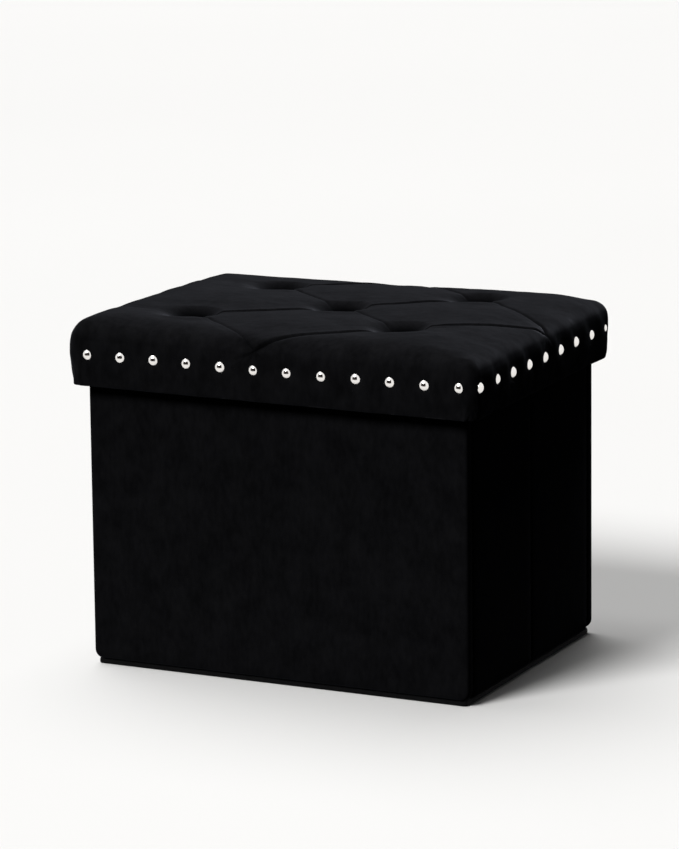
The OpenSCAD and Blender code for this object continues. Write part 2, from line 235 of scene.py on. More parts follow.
sleeve_low, sleeve_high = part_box("base_cover")
sleeve = block("base_sleeve", sleeve_low, sleeve_high)
for axis in (0, 1):
    cut_into_rows(sleeve, axis, 0.02)
round_panel(sleeve, Vector((0, 0, -1)), 0.004, 0.0012, 0.0008)
bpy.ops.object.shade_smooth_by_angle(angle=radians(50))
finish_piece(sleeve, base_felt, "lining_cloth", "base", "base_cover")

floor_low, floor_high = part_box("base_lining")
floor_cloth = block("base_floor_cloth", floor_low, floor_high)
for axis in (0, 1):
    cut_into_rows(floor_cloth, axis, 0.012)
for point in floor_cloth.data.vertices:
    if point.co.z > floor_high.z - 1e-5:
        sway = relief.noise(point.co * 22) * 0.00035
        point.co.z += sway - 0.0002
round_panel(floor_cloth, Vector((0, 0, 1)), 0.003, 0.0003, 0.0002)
bpy.ops.object.shade_smooth_by_angle(angle=radians(50))
finish_piece(floor_cloth, felt, "lining_cloth", "base", "base_lining")


# ---------------------------------------------------------------------------
# Walls: six fibreboard panels, each wrapped in black velvet that is glued
# round its edges. The front and back are whole; each end is a pair of halves
# that fold in at the crease. Lining cloth covers the inner faces.
# ---------------------------------------------------------------------------
def make_velvet():
    """Black velvet: a deep short pile that lies in patches and shines at a low angle."""
    material, nodes, links, surface, place = new_material("black_velvet")
    patches = noise_field(nodes, links, place, 48, 4, (1, 1, 0.8))
    strokes = noise_field(nodes, links, place, 190, 5, (1, 1, 0.45))
    pile = noise_field(nodes, links, place, 2600, 2)
    lay = nodes.new("ShaderNodeMix")
    lay.data_type = "FLOAT"
    lay.inputs["Factor"].default_value = 0.45
    links.new(patches, lay.inputs["A"])
    links.new(strokes, lay.inputs["B"])
    shade = shade_between(
        nodes, links, lay.outputs["Result"], (0.0036, 0.0036, 0.0040), (0.0067, 0.0067, 0.0075), 0.36, 0.64
    )
    # Painted shade: where the cushion marks its button hollows and pleat folds, the base colour is mixed
    # towards near black.
    painted_hollow_shade = nodes.new("ShaderNodeAttribute")
    painted_hollow_shade.attribute_name = "painted_hollow_shade"
    painted_shade_mix = nodes.new("ShaderNodeMix")
    painted_shade_mix.data_type = "RGBA"
    painted_shade_mix.inputs[7].default_value = (0.0006, 0.0006, 0.0007, 1)
    links.new(painted_hollow_shade.outputs["Fac"], painted_shade_mix.inputs[0])
    links.new(shade, painted_shade_mix.inputs[6])
    links.new(painted_shade_mix.outputs[2], surface.inputs["Base Color"])
    links.new(spread(nodes, links, strokes, 0.78, 0.95), surface.inputs["Roughness"])
    surface.inputs["Specular IOR Level"].default_value = 0.0
    surface.inputs["Sheen Weight"].default_value = 0.17
    surface.inputs["Sheen Roughness"].default_value = 0.36
    surface.inputs["Sheen Tint"].default_value = (0.70, 0.73, 0.85, 1)
    bumped(nodes, links, surface, [(strokes, 0.22, 0.0009), (pile, 0.35, 0.00015)])
    return material


def wall_panel(name, node, outward, body, corner_r=0.006, swell=0.0006):
    """One wrapped wall panel: rounded rims, a soft swell and a little unevenness."""
    low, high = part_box(node)
    outward = Vector(outward)
    thin = 1 if outward.y else 0
    wide = 1 - thin
    panel = block(name, low, high)
    cut_into_rows(panel, wide, 0.0125)
    cut_into_rows(panel, 2, 0.0125)
    round_panel(panel, outward, corner_r, 0.0034, 0.001)
    face = high[thin] if outward[thin] > 0 else low[thin]
    for point in panel.data.vertices:
        if abs(point.co[thin] - face) > 0.0005:
            continue
        margin = min(
            point.co[wide] - low[wide],
            high[wide] - point.co[wide],
            point.co.z - low.z,
            high.z - point.co.z,
        )
        ease = min(1, margin / 0.03) ** 2
        uneven = relief.noise(point.co * 14 + Vector((3, 7, 1))) * 0.0007
        uneven += relief.noise(point.co * 45) * 0.00025
        point.co += outward * (ease * (swell + uneven) - 0.0002)
    bpy.ops.object.shade_smooth_by_angle(angle=radians(60))
    return finish_piece(panel, velvet, "velvet", body, node)


def wall_lining(name, node, inward, body):
    """Sheet of lining cloth glued to a wall's inner face, with its edges turned in."""
    low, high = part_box(node)
    inward = Vector(inward)
    thin = 1 if inward.y else 0
    wide = 1 - thin
    lining = block(name, low, high)
    cut_into_rows(lining, wide, 0.02)
    cut_into_rows(lining, 2, 0.02)
    round_panel(lining, inward, 0.004, 0.0004, 0.0002)
    face = high[thin] if inward[thin] > 0 else low[thin]
    for point in lining.data.vertices:
        if abs(point.co[thin] - face) < 0.0001:
            point.co -= inward * (0.00015 + abs(relief.noise(point.co * 20)) * 0.0003)
    bpy.ops.object.shade_smooth_by_angle(angle=radians(50))
    return finish_piece(lining, felt, "lining_cloth", body, node)


velvet = make_velvet()
wall_panel("back_wall_velvet", "back_cover", (0, 1, 0), "base", 0.0085)
wall_panel("front_wall_velvet", "front_cover", (0, -1, 0), "front_wall", 0.0085)
wall_lining("back_wall_lining", "back_lining", (0, -1, 0), "base")
wall_lining("front_wall_lining", "front_lining", (0, 1, 0), "front_wall")
for side, away in (("left", -1), ("right", 1)):
    for end in ("rear", "front"):
        half = f"{side}_{end}"
        wall_panel(f"{half}_velvet", f"{half}_cover", (away, 0, 0), f"{half}_half")
        wall_lining(f"{half}_inner_lining", f"{half}_lining", (-away, 0, 0), f"{half}_half")


# ---------------------------------------------------------------------------
# Folding joints: strips of the same velvet, glued behind the panels' edges.
# One closes each corner; one runs down each crease, set back in the groove
# between the two halves, where the halves fold outer face in.
# ---------------------------------------------------------------------------
def joint_strip(name, low, high, groove, outward):
    """Soft strip between two panels, with a shallow groove down its middle."""
    strip = block(name, low, high)
    cut_into_rows(strip, 1, 0.0002 if high[1] - low[1] < 0.003 else 0.0004)
    cut_into_rows(strip, 2, 0.02)
    middle = (low[1] + high[1]) / 2
    half_gap = (high[1] - low[1]) / 2
    for point in strip.data.vertices:
        inside = (point.co.x - (low[0] + high[0]) / 2) * outward > 0
        if inside:
            share = 1 - ((point.co.y - middle) / half_gap) ** 2
            waver = 1 + 0.25 * relief.noise(Vector((0, 0, point.co.z * 60)))
            point.co.x -= outward * groove * share * waver
    bpy.ops.object.shade_smooth_by_angle(angle=radians(60))
    return strip


strip_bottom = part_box("front_right_hinge")[0].z
strip_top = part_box("front_right_hinge")[1].z
panel_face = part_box("right_rear_cover")[1].x
lining_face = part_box("right_rear_lining")[0].x
panel_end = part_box("right_rear_cover")[1].y
wall_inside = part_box("back_cover")[0].y
for side, away in (("left", -1), ("right", 1)):
    across = sorted([away * (lining_face + 0.0015), away * (panel_face - 0.0022)])
    for end, toward, wall, half in (
        ("back", 1, "base", f"{side}_rear_half"),
        ("front", -1, "front_wall", f"{side}_front_half"),
    ):
        deep = sorted([toward * (panel_end - 0.0006), toward * (wall_inside + 0.0006)])
        strip = joint_strip(
            f"{end}_{side}_corner_strip",
            (across[0], deep[0], strip_bottom),
            (across[1], deep[1], strip_top),
            0.0006,
            away,
        )
        hinge = f"{end}_{side}_hinge"
        if (end, side) == ("front", "left"):
            finish_piece(strip, velvet, "velvet", wall, hinge)
            continue
        finish_piece(strip, velvet, "velvet", None, hinge)
        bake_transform(strip)
    crease = joint_strip(
        f"{side}_crease_strip",
        (min(away * (lining_face + 0.004), away * (panel_face - 0.0012)), -0.0016, strip_bottom),
        (max(away * (lining_face + 0.004), away * (panel_face - 0.0012)), 0.0016, strip_top),
        0.0012,
        away,
    )
    finish_piece(crease, velvet, "velvet", None, f"{side}_crease_hinge")
    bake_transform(crease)


# ---------------------------------------------------------------------------
# Lid frame: a plywood top board on four fibreboard rim boards, nailed down
# through the top board with steel brads. The velvet hides all of it.
# Each keeps its own solid.
# ---------------------------------------------------------------------------
def make_plywood():
    """Pale sawn veneer with a long grain along the lid."""
    material, nodes, links, surface, place = new_material("plywood")
    grain = noise_field(nodes, links, place, 120, 6, (0.08, 1, 1))
    rings = noise_field(nodes, links, place, 18, 3, (0.15, 1, 1))
    blend_of = nodes.new("ShaderNodeMix")
    blend_of.data_type = "FLOAT"
    blend_of.inputs["Factor"].default_value = 0.5
    links.new(grain, blend_of.inputs["A"])
    links.new(rings, blend_of.inputs["B"])
    links.new(
        shade_between(nodes, links, blend_of.outputs["Result"], (0.42, 0.27, 0.14), (0.66, 0.49, 0.30)),
        surface.inputs["Base Color"],
    )
    links.new(spread(nodes, links, grain, 0.55, 0.75), surface.inputs["Roughness"])
    bumped(nodes, links, surface, [(grain, 0.3, 0.0002)])
    return material


def make_metal(name, dull, bright, rough):
    """Plated metal with faint marks from stamping."""
    material, nodes, links, surface, place = new_material(name)
    marks = noise_field(nodes, links, place, 700, 3)
    links.new(shade_between(nodes, links, marks, dull, bright), surface.inputs["Base Color"])
    links.new(spread(nodes, links, marks, rough, rough + 0.08), surface.inputs["Roughness"])
    surface.inputs["Metallic"].default_value = 1
    bumped(nodes, links, surface, [(marks, 0.08, 0.0001)])
    return material


plywood = make_plywood()
steel = make_metal("zinc_steel", (0.48, 0.48, 0.50), (0.60, 0.60, 0.62), 0.32)
for node, finish in (
    ("lid_board", plywood),
    ("front_rim", fibreboard),
    ("back_rim", fibreboard),
    ("left_rim", fibreboard),
    ("right_rim", fibreboard),
    ("rim_brads", steel),
):
    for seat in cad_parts[node].material_slots:
        seat.material = finish


# ---------------------------------------------------------------------------
# Lid lining: a panel of the lining cloth, stapled under the top board after
# the velvet is pulled over the rim, so that it hides the velvet's raw edges.
# ---------------------------------------------------------------------------
under_low, under_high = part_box("lid_lining")
under_cloth = block("lid_under_cloth", under_low, under_high)
for axis in (0, 1):
    cut_into_rows(under_cloth, axis, 0.012)
for point in under_cloth.data.vertices:
    if point.co.z < under_low.z + 1e-5:
        edge = min(under_high.x - abs(point.co.x), under_high.y - abs(point.co.y))
        point.co.z += 0.0002 + 0.0003 * abs(relief.noise(point.co * 25)) * min(1, edge / 0.02)
round_panel(under_cloth, Vector((0, 0, -1)), 0.002, 0.0003, 0.0002)
bpy.ops.object.shade_smooth_by_angle(angle=radians(50))
finish_piece(under_cloth, felt, "lining_cloth", "lid", "lid_lining")


# ---------------------------------------------------------------------------
# Lid cushion: one blank of velvet over a foam sheet, pulled over the shoulder
# and down the rim, turned under it and up the inside. Five buttons pull it
# down, and the slack between them lies in pleats that cross in a diamond.
# ---------------------------------------------------------------------------
cover_low, cover_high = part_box("lid_cover")
button_low, button_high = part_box("tuft_buttons")
nail_low, nail_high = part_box("front_nails")
front_pitch = (nail_high.x - nail_low.x - 0.011) / 11
row_shift = (nail_high.x + nail_low.x) / 2
end_pitch = (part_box("right_nails")[1].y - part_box("right_nails")[0].y - 0.011) / 8
lid_half = np.array([cover_high.x, cover_high.y])
corner_r = 0.014
shoulder_r = 0.0115
loft = 0.0062
edge_z = cover_low.z + 0.0573
flat_r = corner_r - shoulder_r
fold_r = flat_r + shoulder_r * pi / 2
skirt_run = edge_z - shoulder_r - cover_low.z
blank_r = fold_r + skirt_run
core = lid_half - corner_r
blank_half = core + blank_r
tuft_mid = (button_low + button_high) / 2
tuft_span = (button_high - button_low) / 2 - Vector((0.006, 0.006, 0))
holes = [
    (tuft_mid.x + side * tuft_span.x, tuft_mid.y + end * tuft_span.y)
    for side, end in ((-1, -1), (1, -1), (1, 1), (-1, 1), (0, 0))
]
pulled = [(-0.008, -0.006), (-0.002, 0.002), (0.006, 0.005), (0.007, -0.002), (0.006, -0.004)]
tufts = [(hole[0] + pull[0], hole[1] + pull[1]) for hole, pull in zip(holes, pulled)]


def over_the_lid(u, v):
    """Lays points of the flat blank over the lid: their places, facings and run from the core."""
    across = np.maximum(np.abs(u) - core[0], 0) / blank_r
    along = np.maximum(np.abs(v) - core[1], 0) / blank_r
    to_x = across * np.sqrt(1 - along**2 / 2)
    to_y = along * np.sqrt(1 - across**2 / 2)
    reach = np.hypot(to_x, to_y)
    run = reach * blank_r
    way_x = np.sign(u) * to_x / np.maximum(reach, 1e-9)
    way_y = np.sign(v) * to_y / np.maximum(reach, 1e-9)
    turn = np.clip((run - flat_r) / shoulder_r, 0, pi / 2)
    out = np.minimum(run, flat_r) + shoulder_r * np.sin(turn)
    down = shoulder_r * (1 - np.cos(turn)) + np.maximum(run - fold_r, 0)
    x = np.clip(u, -core[0], core[0]) + way_x * out
    y = np.clip(v, -core[1], core[1]) + way_y * out
    place = np.stack([x, y, edge_z - down], axis=1)
    facing = np.stack([way_x * np.sin(turn), way_y * np.sin(turn), np.cos(turn)], axis=1)
    return place, facing, run


def off_line(u, v, start, end):
    """Signed distance from a line, and the share of the way along it."""
    span = np.subtract(end, start)
    length = np.hypot(*span)
    along = ((u - start[0]) * span[0] + (v - start[1]) * span[1]) / length**2
    off = ((u - start[0]) * span[1] - (v - start[1]) * span[0]) / length
    beyond = np.maximum(np.maximum(-along, along - 1), 0) * length
    return np.sign(off) * np.hypot(off, beyond * 0.55), along


front_end, right_end, back_end = (-0.014, -0.1670), (0.2180, 0.008), (0.002, 0.1670)
pleats = [(tufts[k], tufts[4]) for k in range(4)]
pleats += [(tufts[0], front_end), (tufts[1], front_end), (tufts[1], right_end), (tufts[2], right_end)]
pleats += [(tufts[2], back_end), (tufts[3], back_end)]
pleats += [(tufts[0], (-0.2180, tufts[0][1] - 0.008)), (tufts[3], (-0.2180, tufts[3][1] + 0.004))]


def pulled_cloth(u, v):
    """The blank over the lid with the foam swelling under it and the buttons pulling it down."""
    place, facing, run = over_the_lid(u, v)
    on_top = np.clip(facing[:, 2], 0, 1)
    for tuft in tufts:
        apart = np.stack([place[:, 0] - tuft[0], place[:, 1] - tuft[1]], axis=1)
        away = np.hypot(apart[:, 0], apart[:, 1])
        gathered = (away / 0.020) ** 2 * np.exp(1 - (away / 0.020) ** 2)
        place[:, 0] += 0.0020 * gathered * on_top
        place[:, 1] -= 0.0026 * gathered * on_top
    # foam rises quickly from its shoulder to a nearly level top, a little lower at the back
    soft = (np.where(place[:, 0] > 0, 0.033, 0.010), 0.0145)
    edge = [np.exp(-((np.maximum(lid_half[k] - np.abs(place[:, k]), 0) / soft[k]) ** 1.6)) for k in (0, 1)]
    rise = loft * (1 - np.minimum((edge[0] ** 3 + edge[1] ** 3) ** (1 / 3), 1))
    to_back = np.clip((place[:, 1] - 0.01) / 0.15, 0, 1)
    rise -= 0.0068 * to_back**1.3 * np.clip(0.6 - place[:, 0] / 0.4, 0, 1)
    rise += 0.0016 * np.clip(place[:, 0] / 0.12, 0, 1) * (1 - np.minimum(edge[0] + edge[1], 1))
    rise += 0.0034 * np.clip(-place[:, 1] / 0.13, 0, 1) * np.clip(-place[:, 0] / 0.19, 0, 1) ** 2.5
    # wide hollows round the buttons, firm at the lip nearer the front
    hollow = np.zeros(len(u))
    lip = np.zeros(len(u))
    for tuft in tufts:
        away = np.hypot(place[:, 0] - tuft[0], place[:, 1] - tuft[1])
        front = (0.42 * (place[:, 0] - tuft[0]) - 0.90 * (place[:, 1] - tuft[1])) / np.maximum(away, 0.001)
        left = (-0.94 * (place[:, 0] - tuft[0]) - 0.34 * (place[:, 1] - tuft[1])) / np.maximum(away, 0.001)
        wide = 0.0290 - 0.0045 * front + 0.019 * np.clip(left, 0, 1) ** 1.5
        bowl = 1.75 * np.clip(1 - away / wide, 0, 1) ** (1.5 + 1.0 * np.clip(left, 0, 1) ** 1.5)
        hollow = np.maximum(hollow, bowl / (1 + bowl**4) ** 0.25)
        toward = (0.60 * (place[:, 0] - tuft[0]) - 0.80 * (place[:, 1] - tuft[1])) / np.maximum(away, 0.001)
        lip = np.maximum(lip, np.exp(-(((away - 0.032) / 0.009) ** 2)) * np.clip(toward, 0, 1) ** 0.8)
    rise += on_top * (0.0014 * lip - 0.0155 * hollow)
    # skirt swells over the rim boards, most at the ends
    down_run = np.clip((run - fold_r) / skirt_run, 0, 1)
    endwise = np.abs(facing[:, 0])
    leftward = np.clip(-facing[:, 0], 0, 1)
    swell = (0.0012 + 0.0012 * endwise) * np.sin(pi * down_run) ** 0.7 + 0.0018 * endwise * (1 - down_run)
    swell += 0.0024 * leftward * (1 - 0.4 * down_run)
    rise = on_top * rise + (1 - on_top) * swell
    return place, facing, run, rise, hollow


# A coarse pad in the same shape is blown up by the foam, held at the buttons,
# the pleats, the nails and the hem, and the way it settles goes into the cover
steps_u, steps_v = 86, 70
bpy.ops.mesh.primitive_grid_add(x_subdivisions=steps_u, y_subdivisions=steps_v, size=1)
pad = bpy.context.object
pad.name = "foam_trial"
pad.scale = (2 * blank_half[0], 2 * blank_half[1], 1)
bpy.ops.object.transform_apply(location=True, rotation=True, scale=True)
flat = np.empty(len(pad.data.vertices) * 3)
pad.data.vertices.foreach_get("co", flat)
flat = flat.reshape(-1, 3)
order = np.lexsort((flat[:, 0], flat[:, 1]))
u, v = flat[:, 0], flat[:, 1]
place, facing, run, rise, hollow = pulled_cloth(u, v)
before = place + facing * rise[:, None]
pad.data.vertices.foreach_set("co", before.ravel())
held = np.clip(hollow * 2.2, 0, 1)
for start, end in pleats:
    off, along = off_line(u, v, start, end)
    held = np.maximum(held, 0.75 * np.exp(-((off / 0.006) ** 2)))
held = np.maximum(held, np.clip((run - flat_r) / 0.026, 0, 1))
grip = pad.vertex_groups.new(name="held")
for k, weight in enumerate(held):
    grip.add([k], float(weight), "REPLACE")
bpy.ops.object.modifier_add(type="CLOTH")
weave = pad.modifiers["Cloth"]
weave.settings.vertex_group_mass = "held"
weave.settings.use_pressure = True
weave.settings.uniform_pressure_force = 4
weave.settings.tension_stiffness = 12
weave.settings.compression_stiffness = 12
weave.settings.bending_stiffness = 0.4
weave.settings.effector_weights.gravity = 0
weave.collision_settings.use_collision = False
for moment in range(1, 21):
    bpy.context.scene.frame_set(moment)
settled = pad.evaluated_get(bpy.context.evaluated_depsgraph_get())
after = np.empty(len(flat) * 3)
settled.data.vertices.foreach_get("co", after)
moved = after.reshape(-1, 3) - before
far = np.linalg.norm(moved, axis=1)
moved *= np.minimum(1, 0.0045 / np.maximum(far, 1e-9))[:, None]
moved = moved[order].reshape(steps_v + 1, steps_u + 1, 3)
for again in range(3):
    for axis in (0, 1):
        moved = (np.roll(moved, 1, axis) + 2 * moved + np.roll(moved, -1, axis)) / 4
bpy.context.scene.frame_set(1)
bpy.data.objects.remove(pad)

bpy.ops.mesh.primitive_grid_add(x_subdivisions=316, y_subdivisions=258, size=1)
cushion = bpy.context.object
cushion.name = "lid_cushion"
cushion.data.name = "lid_cushion"
cushion.scale = (2 * blank_half[0], 2 * blank_half[1], 1)
bpy.ops.object.transform_apply(location=True, rotation=True, scale=True)

# The pleats are creased into the blank, each with cuts on either side of it
bpy.ops.object.mode_set(mode="EDIT")
for start, end in pleats:
    span = Vector((end[0] - start[0], end[1] - start[1], 0)).normalized()
    side = Vector((span.y, -span.x, 0))
    middle = (Vector((*start, 0)) + Vector((*end, 0))) / 2
    reach_of = (Vector((*end, 0)) - Vector((*start, 0))).length / 2 + 0.045
    for shift in (-0.0021, -0.0007, 0, 0.0007, 0.0021):
        bpy.ops.mesh.select_mode(type="FACE")
        bpy.ops.mesh.select_all(action="DESELECT")
        sheet = bmesh.from_edit_mesh(cushion.data)
        for face in sheet.faces:
            offset = face.calc_center_median() - middle
            face.select = abs(offset.dot(side)) < 0.006 and abs(offset.dot(span)) < reach_of
        bmesh.update_edit_mesh(cushion.data)
        bpy.ops.mesh.bisect(plane_co=Vector((*start, 0)) + side * shift, plane_no=side)
bpy.ops.object.mode_set(mode="OBJECT")

flat = np.empty(len(cushion.data.vertices) * 3)
cushion.data.vertices.foreach_get("co", flat)
flat = flat.reshape(-1, 3)
u, v = flat[:, 0], flat[:, 1]
place, facing, run, rise, hollow = pulled_cloth(u, v)
on_top = np.clip(facing[:, 2], 0, 1)

# How the trial pad settled, read off between its points
column = np.clip((u / blank_half[0] + 1) / 2 * steps_u, 0, steps_u - 1e-6)
row = np.clip((v / blank_half[1] + 1) / 2 * steps_v, 0, steps_v - 1e-6)
i, j = column.astype(int), row.astype(int)
part_u, part_v = (column - i)[:, None], (row - j)[:, None]
near_side = moved[j, i] * (1 - part_u) + moved[j, i + 1] * part_u
far_side = moved[j + 1, i] * (1 - part_u) + moved[j + 1, i + 1] * part_u
settling = near_side * (1 - part_v) + far_side * part_v

# Pleats: on those that run back to the right the far side laps over the near one,
# on the others it slopes down into the fold; all are deepest at their two ends
fold_down = np.zeros(len(u))
lap_up = np.zeros(len(u))
for number, (start, end) in enumerate(pleats):
    off, along = off_line(u, v, start, end)
    rightward = end[0] > start[0]
    if not rightward:
        off = -off
    length = np.hypot(end[0] - start[0], end[1] - start[1])
    to_end = (1 - along) * length
    strength = 0.60 + 0.30 * np.exp(-((along * length / 0.045) ** 2))
    if number > 3:
        strength += 0.55 * np.exp(-((to_end / 0.035) ** 2))
    to_right = to_end if rightward else along * length
    if rightward == (end[1] > start[1]) and number < 10:
        down = np.interp(off, (-0.0021, -0.0007, 0.0, 0.0007, 0.0021, 0.006), (0, 0.55, 1, 1, 0.6, 0))
        up = np.interp(off, (-0.020, -0.009, -0.0045, -0.0021, -0.0007, 0.0), (0, 0.45, 0.95, 1.0, 0.35, 0))
        up = up * np.clip((to_right - 0.012) / 0.040, 0, 1)
        ridge = np.interp(off, (0.0010, 0.0035, 0.0110), (0, 1.4, 0)) * (number != 5)
        up = np.maximum(up, ridge * np.exp(-(((length - to_right - 0.035) / 0.015) ** 2)))
    else:
        down = 0.9 * np.interp(off, (-0.0026, -0.0007, 0.0, 0.0007, 0.0021, 0.010), (0, 0.75, 1, 0.9, 0.6, 0))
        up = 0 * off
    if number > 9:
        down = np.interp(off, (-0.016, -0.006, 0.0, 0.006), (0, 0.5, 0.7, 0))
        up = np.interp(off, (0.0, 0.006, 0.012, 0.030), (0, 0.8, 1.0, 0))
        strength *= np.clip(1.1 - along, 0, 1) * np.clip((along * length - 0.030) / 0.050, 0, 1)
    fold_down = np.maximum(fold_down, down * strength)
    lap_up = np.maximum(lap_up, up * strength)
for start, end in (
    (front_end, (-0.024, -0.184)),
    (front_end, (-0.006, -0.185)),
    ((-0.016, -0.170), (-0.040, -0.179)),
    (right_end, (0.234, 0.004)),
    (right_end, (0.232, 0.018)),
):
    off, along = off_line(u, v, start, end)
    fold_down = np.maximum(fold_down, 0.8 * np.exp(-((off / 0.0022) ** 2)) * np.clip(1.2 - along, 0, 1))
loose = 1 - np.clip(1.6 * hollow, 0, 0.9)
pleat = (0.0011 * lap_up * (1 - np.clip(fold_down, 0, 1)) - 0.0018 * fold_down) * loose
rise += np.where(on_top > 0.55, pleat, np.maximum(pleat, -0.0022 - 0.0010 * on_top) * (0.45 + on_top))

# Skirt: the cloth dips at each nail and puckers above, between the nails
side_on = np.clip((run - flat_r - shoulder_r * 0.5) / shoulder_r, 0, 1)
nail_run = fold_r + edge_z - shoulder_r - (nail_low.z + nail_high.z) / 2
dips = np.zeros(len(u))
puckers = np.zeros(len(u))
for count, pitch, coordinate, half, other in (
    (12, front_pitch, u, core[1], v),
    (9, end_pitch, v, core[0], u),
):
    for k in range(count):
        centre = (k - (count - 1) / 2) * pitch + (row_shift * -np.sign(other) if count == 12 else 0)
        reach_down = np.abs(other) - half - nail_run
        near = np.hypot(coordinate - centre, reach_down)
        dips = np.maximum(dips, np.exp(-((near / 0.0075) ** 2)) * (np.abs(other) > half))
        between = coordinate - centre - pitch / 2
        if k < count - 1:
            fold = np.exp(-((between / 0.007) ** 2)) * np.exp(-(((reach_down + 0.010) / 0.010) ** 2))
            puckers = np.maximum(puckers, fold * (np.abs(other) > half))
rise += side_on * (0.0012 * puckers - 0.0016 * dips)

# Small unevenness of hand-pulled cloth
uneven = np.array([relief.noise(Vector((a * 30, b * 30, 4.0))) for a, b in zip(u, v)])
fine = np.array([relief.noise(Vector((a * 90, b * 90, 9.0))) for a, b in zip(u, v)])
unevenness = (0.0007 + 0.0006 * side_on) * uneven + (0.0002 + 0.0002 * side_on) * fine
rise += unevenness * (1 - np.clip(hollow, 0, 1))

shaped = place + settling + facing * rise[:, None]
cushion.data.vertices.foreach_set("co", shaped.ravel())
cushion.data.update()

# The hem: turned under the rim boards, up their inner faces, and closed off above
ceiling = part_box("lid_lining")[1].z - 0.0002
for inset_by, height in (
    (0.0004, cover_low.z + 0.0000),
    (0.0016, cover_low.z - 0.0003),
    (0.0060, cover_low.z - 0.0002),
    (0.0102, cover_low.z - 0.0000),
    (0.0117, cover_low.z + 0.0014),
    (0.0117, cover_low.z + 0.0160),
    (0.0117, ceiling),
):
    bpy.ops.object.mode_set(mode="EDIT")
    bpy.ops.mesh.select_mode(type="EDGE")
    bpy.ops.mesh.select_all(action="DESELECT")
    bpy.ops.mesh.select_non_manifold(extend=False)
    bpy.ops.mesh.extrude_region_move()
    sheet = bmesh.from_edit_mesh(cushion.data)
    for point in sheet.verts:
        if not point.select:
            continue
        x, y = point.co.x, point.co.y
        limit = lid_half - inset_by
        bend = max(corner_r - inset_by, 0.0015)
        over = Vector((max(abs(x) - (limit[0] - bend), 0), max(abs(y) - (limit[1] - bend), 0)))
        if over.length > 1e-9:
            over = over.normalized() * bend
        new_x = min(abs(x), limit[0] - bend) + over.x
        new_y = min(abs(y), limit[1] - bend) + over.y
        point.co = Vector((new_x if x > 0 else -new_x, new_y if y > 0 else -new_y, height))
    bmesh.update_edit_mesh(cushion.data)
    bpy.ops.object.mode_set(mode="OBJECT")
bpy.ops.object.mode_set(mode="EDIT")
bpy.ops.mesh.select_all(action="DESELECT")
bpy.ops.mesh.select_non_manifold(extend=False)
bpy.ops.mesh.extrude_region_move()
bpy.ops.mesh.merge(type="CENTER")
bpy.ops.object.mode_set(mode="OBJECT")
bpy.ops.object.select_all(action="DESELECT")
cushion.select_set(True)
bpy.context.view_layer.objects.active = cushion
bpy.ops.object.shade_smooth()
# Painted shade for the velvet: a share from 0 to 1 in the button hollows and along the pleat folds, which
# darkens the base colour there.
painted_hollow_shade = cushion.data.attributes.new("painted_hollow_shade", "FLOAT", "POINT")
hollow_shade_share = np.zeros(len(cushion.data.vertices))
hollow_shade_share[: len(u)] = np.clip(np.maximum((hollow - 0.06) / 0.42, 0.6 * fold_down), 0, 1)
painted_hollow_shade.data.foreach_set("value", hollow_shade_share)
finish_piece(cushion, velvet, "velvet", "lid", "foam_pad", "lid_cover")


# ---------------------------------------------------------------------------
# Buttons: five low domes covered in the same velvet, each pulled down on a
# twine that runs through the top board and is knotted under a steel washer.
# ---------------------------------------------------------------------------
for k, tuft in enumerate(tufts):
    seat = edge_z + loft - 0.0145
    bpy.ops.mesh.primitive_uv_sphere_add(segments=24, ring_count=14, radius=0.006, location=(0, 0, 0))
    button = bpy.context.object
    button.name = f"tuft_button_{k + 1}"
    bpy.ops.object.mode_set(mode="EDIT")
    bpy.ops.mesh.select_all(action="SELECT")
    bpy.ops.mesh.bisect(plane_co=(0, 0, -0.0022), plane_no=(0, 0, 1), use_fill=True, clear_inner=True)
    bpy.ops.mesh.inset(thickness=0.0012)
    bpy.ops.mesh.select_all(action="SELECT")
    bpy.ops.transform.resize(value=(1, 1, 0.5))
    bpy.ops.transform.translate(value=(tuft[0], tuft[1], seat + 0.0012))
    bpy.ops.object.mode_set(mode="OBJECT")
    bpy.ops.object.transform_apply(location=True, rotation=True, scale=True)
    for point in button.data.vertices:
        point.co.z += 0.00012 * relief.noise(point.co * 300)
    bpy.ops.object.shade_smooth_by_angle(angle=radians(60))
    finish_piece(button, velvet, "velvet", "lid")
    if k == 0:
        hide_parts("tuft_buttons")


def make_twine():
    """Waxed upholstery twine, twisted from three strands."""
    material, nodes, links, surface, place = new_material("waxed_twine")
    fuzz = noise_field(nodes, links, place, 1500, 3, (1, 1, 0.3))
    links.new(
        shade_between(nodes, links, fuzz, (0.34, 0.27, 0.18), (0.55, 0.46, 0.33)),
        surface.inputs["Base Color"],
    )
    links.new(spread(nodes, links, fuzz, 0.5, 0.75), surface.inputs["Roughness"])
    bumped(nodes, links, surface, [(fuzz, 0.4, 0.0001)])
    return material


